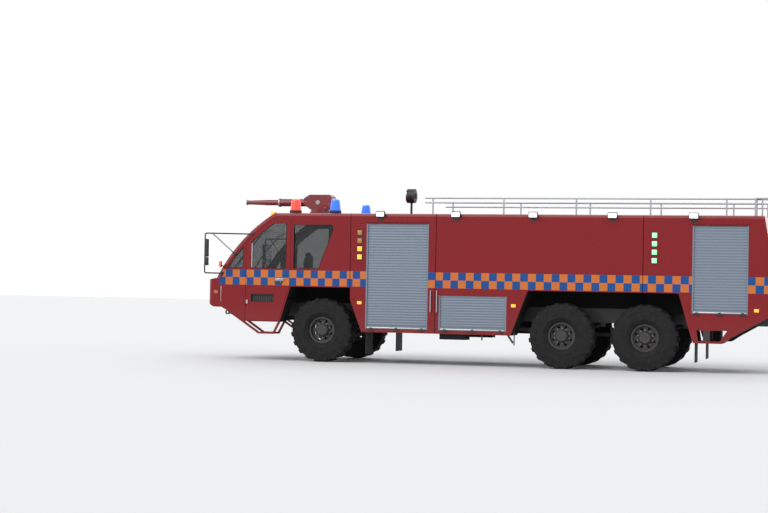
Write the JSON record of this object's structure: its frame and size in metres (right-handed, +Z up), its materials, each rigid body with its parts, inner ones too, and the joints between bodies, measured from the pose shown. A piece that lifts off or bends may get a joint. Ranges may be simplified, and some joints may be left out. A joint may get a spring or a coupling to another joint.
{
  "type": "airport fire truck",
  "caption": "Airport fire truck on three axles with roof water cannon, crew cab, roller shutter lockers, steered front wheels and opening doors.",
  "frame": {"origin": "on the ground below the middle of the vehicle's box", "axes": "+X from the nose to the tail, +Y to the vehicle's right, +Z up"},
  "size_m": [12.037, 4.0384, 3.7698],
  "materials": {
    "red_paint": "gloss",
    "chassis_grey": "satin",
    "cast_steel": "matte",
    "bare_steel": "satin",
    "shutter_aluminium": "satin",
    "pane_glass": "polished",
    "rim_grey": "satin",
    "tyre_rubber": "matte",
    "black_rubber": "matte",
    "black_plastic": "matte",
    "seat_fabric": "matte",
    "lamp_clear": "gloss",
    "lamp_amber": "gloss",
    "lamp_green": "gloss",
    "lamp_red": "gloss",
    "lamp_blue": "gloss"
  },
  "bodies": {
    "root": {"chassis_frame": "chassis_grey", "cross_members": "chassis_grey", "front_axle": "cast_steel", "rear_axles": "cast_steel", "drive_line": "cast_steel", "engine_block": "cast_steel", "cab_body": "red_paint", "cab_glass": "pane_glass", "seats": "seat_fabric", "dashboard": "black_plastic", "mirrors": "black_plastic", "nose_panel": "red_paint", "headlamps": "lamp_clear", "step_frames": "red_paint", "locker_body": "red_paint", "tank_body": "red_paint", "rear_body": "red_paint", "rear_lockers": "red_paint", "roller_shutters": "shutter_aluminium", "mudflaps": "black_rubber", "roof_rails": "bare_steel", "rear_ladder": "bare_steel", "grab_rails": "bare_steel", "flood_lamps": "lamp_clear", "beacons": "lamp_blue", "searchlight": "black_plastic", "side_markers": "lamp_amber", "foam_level_lamps": "lamp_amber", "water_level_lamps": "lamp_green", "tail_lamps": "lamp_red", "cannon_base": "red_paint"},
    "knuckle_left": {"knuckle_left": "cast_steel"},
    "knuckle_right": {"knuckle_right": "cast_steel"},
    "tie_rod": {"tie_rod": "bare_steel"},
    "wheel_front_left": {"tyre_front_left": "tyre_rubber", "rim_front_left": "rim_grey"},
    "wheel_front_right": {"tyre_front_right": "tyre_rubber", "rim_front_right": "rim_grey"},
    "wheel_middle_left": {"tyre_middle_left": "tyre_rubber", "rim_middle_left": "rim_grey"},
    "wheel_middle_right": {"tyre_middle_right": "tyre_rubber", "rim_middle_right": "rim_grey"},
    "wheel_rear_left": {"tyre_rear_left": "tyre_rubber", "rim_rear_left": "rim_grey"},
    "wheel_rear_right": {"tyre_rear_right": "tyre_rubber", "rim_rear_right": "rim_grey"},
    "door_left": {"door_left": "red_paint", "door_glass_left": "pane_glass"},
    "door_right": {"door_right": "red_paint", "door_glass_right": "pane_glass"},
    "cannon_turntable": {"cannon_turntable": "red_paint"},
    "cannon_barrel": {"cannon_barrel": "red_paint"},
    "engine_lid": {"engine_lid": "red_paint"}
  },
  "joints": [
    {"name": "steering_left", "type": "hinge", "parent": "root", "child": "knuckle_left", "pos_m": [-3.4485, -0.975, 0.677], "axis": [0, 0, 1], "range_deg": [-30, 30]},
    {"name": "steering_right", "type": "hinge", "parent": "root", "child": "knuckle_right", "pos_m": [-3.4485, 0.975, 0.677], "axis": [0, 0, 1], "range_deg": [-30, 30]},
    {"name": "tie_rod_pivot", "type": "hinge", "parent": "knuckle_left", "child": "tie_rod", "pos_m": [-3.1485, -0.975, 0.56], "axis": [0, 0, 1], "range_deg": [-30, 30]},
    {"name": "wheel_front_left_spin", "type": "hinge", "parent": "knuckle_left", "child": "wheel_front_left", "pos_m": [-3.4485, -1.235, 0.677], "axis": [0, 1, 0], "continuous": true},
    {"name": "wheel_front_right_spin", "type": "hinge", "parent": "knuckle_right", "child": "wheel_front_right", "pos_m": [-3.4485, 1.235, 0.677], "axis": [0, 1, 0], "continuous": true},
    {"name": "wheel_middle_left_spin", "type": "hinge", "parent": "root", "child": "wheel_middle_left", "pos_m": [1.7015, -1.235, 0.677], "axis": [0, 1, 0], "continuous": true},
    {"name": "wheel_middle_right_spin", "type": "hinge", "parent": "root", "child": "wheel_middle_right", "pos_m": [1.7015, 1.235, 0.677], "axis": [0, 1, 0], "continuous": true},
    {"name": "wheel_rear_left_spin", "type": "hinge", "parent": "root", "child": "wheel_rear_left", "pos_m": [3.4015, -1.235, 0.677], "axis": [0, 1, 0], "continuous": true},
    {"name": "wheel_rear_right_spin", "type": "hinge", "parent": "root", "child": "wheel_rear_right", "pos_m": [3.4015, 1.235, 0.677], "axis": [0, 1, 0], "continuous": true},
    {"name": "door_left_hinge", "type": "hinge", "parent": "root", "child": "door_left", "pos_m": [-5.1515, -1.516, 1.565], "axis": [0, 0, -1], "range_deg": [0, 75]},
    {"name": "door_right_hinge", "type": "hinge", "parent": "root", "child": "door_right", "pos_m": [-5.1515, 1.516, 1.565], "axis": [0, 0, 1], "range_deg": [0, 75]},
    {"name": "cannon_swivel", "type": "hinge", "parent": "root", "child": "cannon_turntable", "pos_m": [-3.9885, 0, 3.25], "axis": [0, 0, 1], "range_deg": [-60, 60]},
    {"name": "cannon_tilt", "type": "hinge", "parent": "cannon_turntable", "child": "cannon_barrel", "pos_m": [-3.9885, 0, 3.46], "axis": [0, 1, 0], "range_deg": [-5, 75]},
    {"name": "engine_lid_hinge", "type": "hinge", "parent": "root", "child": "engine_lid", "pos_m": [5.9075, 0, 2.277], "axis": [0, -1, 0], "range_deg": [0, 80]}
  ],
  "couplings": [
    {"joint": "steering_right", "follows": "steering_left", "ratio": 1},
    {"joint": "tie_rod_pivot", "follows": "steering_left", "ratio": -1}
  ]
}
